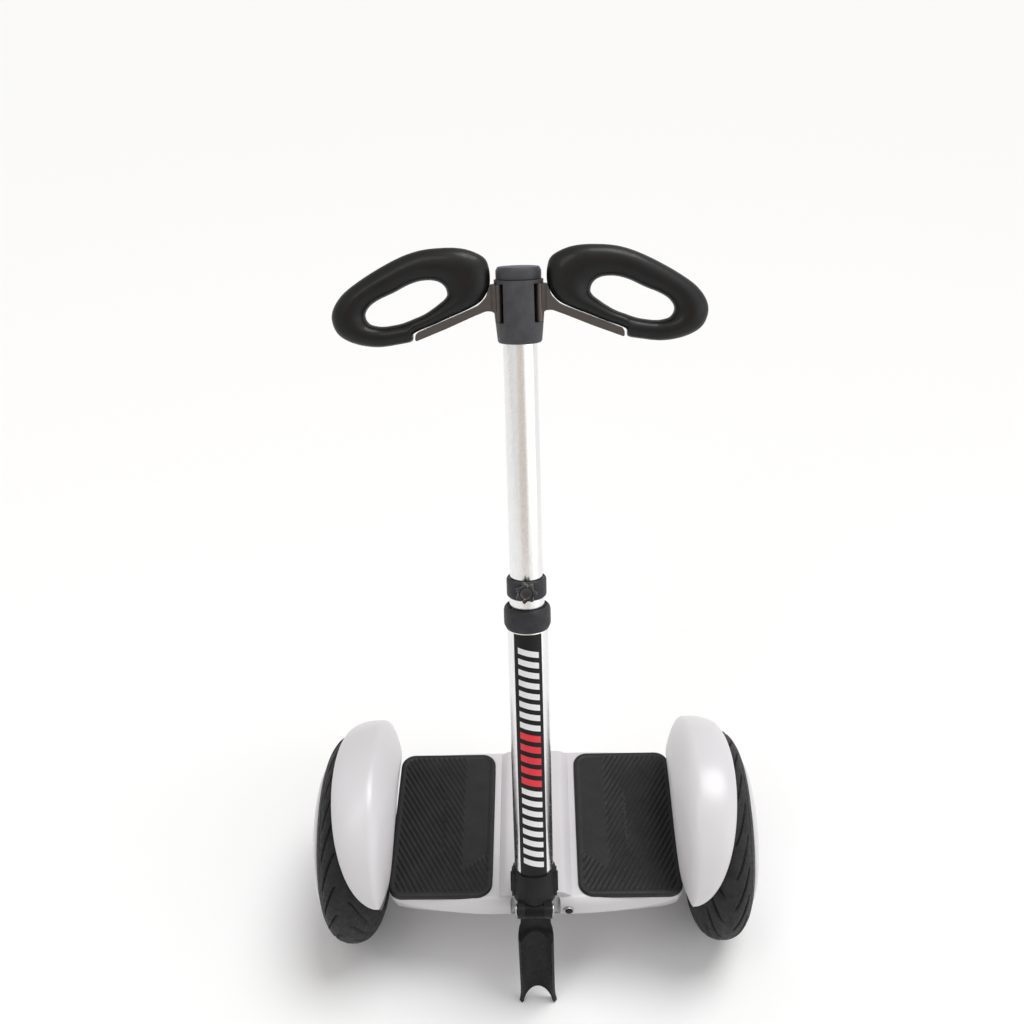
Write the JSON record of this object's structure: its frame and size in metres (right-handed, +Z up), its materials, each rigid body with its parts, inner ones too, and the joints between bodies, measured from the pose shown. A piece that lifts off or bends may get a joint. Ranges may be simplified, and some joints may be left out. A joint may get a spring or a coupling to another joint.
{
  "type": "self balancing personal transporter",
  "caption": "Self balancing transporter with hub motor wheels, footpads, a leaning telescopic post, folding ring grips and a fold down stand.",
  "frame": {"origin": "on the ground, under the middle of the object's box", "axes": "+Z up, +X towards the right wheel, -Y forward, the way the kickstand faces"},
  "size_m": [0.556, 0.3276, 0.8786],
  "materials": {
    "white_shell": "glossy white moulded plastic",
    "tyre": "moulded tyre rubber",
    "soft_rubber": "soft black rubber",
    "black_plastic": "fine textured black plastic",
    "silver_aluminium": "satin anodised",
    "plain_steel": "turned steel",
    "cast_frame": "die cast",
    "motor_copper": "wound and varnished",
    "battery_wrap": "shrink wrap",
    "circuit_green": "lacquered board",
    "tail_red": "clear red lens"
  },
  "bodies": {
    "chassis": {"chassis_frame": "cast_frame", "upper_shell": "white_shell", "lower_shell": "white_shell", "button_bezel": "plain_steel", "left_footpad": "soft_rubber", "right_footpad": "soft_rubber", "left_foot_sensor": "circuit_green", "right_foot_sensor": "circuit_green", "left_fender": "white_shell", "right_fender": "white_shell", "front_shaft_bearing": "plain_steel", "rear_shaft_bearing": "plain_steel", "centering_block": "soft_rubber", "left_axle_clamp": "silver_aluminium", "right_axle_clamp": "silver_aluminium", "left_axle": "plain_steel", "right_axle": "plain_steel", "left_stator": "motor_copper", "right_stator": "motor_copper", "battery_pack": "battery_wrap", "control_board": "circuit_green", "tail_light": "tail_red", "charge_port": "black_plastic"},
    "left_wheel": {"left_tyre": "tyre", "left_rim": "silver_aluminium", "left_hub_cover": "white_shell", "left_magnet_ring": "plain_steel", "left_hub_bearing": "plain_steel", "left_valve_stem": "soft_rubber"},
    "right_wheel": {"right_tyre": "tyre", "right_rim": "silver_aluminium", "right_hub_cover": "white_shell", "right_magnet_ring": "plain_steel", "right_hub_bearing": "plain_steel", "right_valve_stem": "soft_rubber"},
    "power_switch": {"power_button": "black_plastic"},
    "steering": {"steering_shaft": "plain_steel", "post_socket": "black_plastic", "kickstand_pin": "plain_steel"},
    "left_release": {"left_release_button": "black_plastic"},
    "right_release": {"right_release_button": "black_plastic"},
    "post": {"lower_tube": "silver_aluminium", "ring_collar": "black_plastic", "neck_sleeve": "silver_aluminium", "clamp_collar": "black_plastic"},
    "knob": {"clamp_knob": "black_plastic"},
    "telescope": {"upper_tube": "silver_aluminium", "head_body": "black_plastic", "head_cap": "black_plastic", "left_hinge_pin": "plain_steel", "right_hinge_pin": "plain_steel"},
    "left_handle": {"left_handle_arm": "silver_aluminium", "left_grip": "soft_rubber"},
    "right_handle": {"right_handle_arm": "silver_aluminium", "right_grip": "soft_rubber"},
    "stand": {"kickstand": "black_plastic"}
  },
  "joints": [
    {"name": "left_wheel_spin", "type": "hinge", "parent": "chassis", "child": "left_wheel", "pos_m": [-0.229, -0.01126, 0.128], "axis": [1, 0, 0], "continuous": true},
    {"name": "right_wheel_spin", "type": "hinge", "parent": "chassis", "child": "right_wheel", "pos_m": [0.229, -0.01126, 0.128], "axis": [1, 0, 0], "continuous": true},
    {"name": "power_press", "type": "slide", "parent": "chassis", "child": "power_switch", "axis": [0, 1, 0], "range_m": [0, 0.0015], "stiffness_N_per_m": 800},
    {"name": "steering_lean", "type": "hinge", "parent": "chassis", "child": "steering", "pos_m": [0, -0.01126, 0.138], "axis": [0, 1, 0], "range_deg": [-15, 15], "stiffness_Nm_per_rad": 60},
    {"name": "left_release_press", "type": "slide", "parent": "steering", "child": "left_release", "axis": [1, 0, 0], "range_m": [0, 0.0013], "stiffness_N_per_m": 1500},
    {"name": "right_release_press", "type": "slide", "parent": "steering", "child": "right_release", "axis": [-1, 0, 0], "range_m": [0, 0.0013], "stiffness_N_per_m": 1500},
    {"name": "post_lift", "type": "slide", "parent": "steering", "child": "post", "axis": [0, 0.3802, 0.9249], "range_m": [0, 0.06]},
    {"name": "clamp_knob_turn", "type": "hinge", "parent": "post", "child": "knob", "pos_m": [0, -0.0114, 0.54312], "axis": [0, -0.9249, 0.3802], "range_deg": [0, 360]},
    {"name": "post_telescope", "type": "slide", "parent": "post", "child": "telescope", "axis": [0, 0.3802, 0.9249], "range_m": [-0.25, 0.015]},
    {"name": "left_handle_fold", "type": "hinge", "parent": "telescope", "child": "left_handle", "pos_m": [-0.021, 0.12256, 0.8243], "axis": [0, 0.3802, 0.9249], "range_deg": [0, 70]},
    {"name": "right_handle_fold", "type": "hinge", "parent": "telescope", "child": "right_handle", "pos_m": [0.021, 0.12256, 0.8243], "axis": [0, -0.3802, -0.9249], "range_deg": [0, 70]},
    {"name": "kickstand_fold", "type": "hinge", "parent": "steering", "child": "stand", "pos_m": [0, -0.15386, 0.18077], "axis": [-1, 0, 0], "range_deg": [0, 200]}
  ]
}
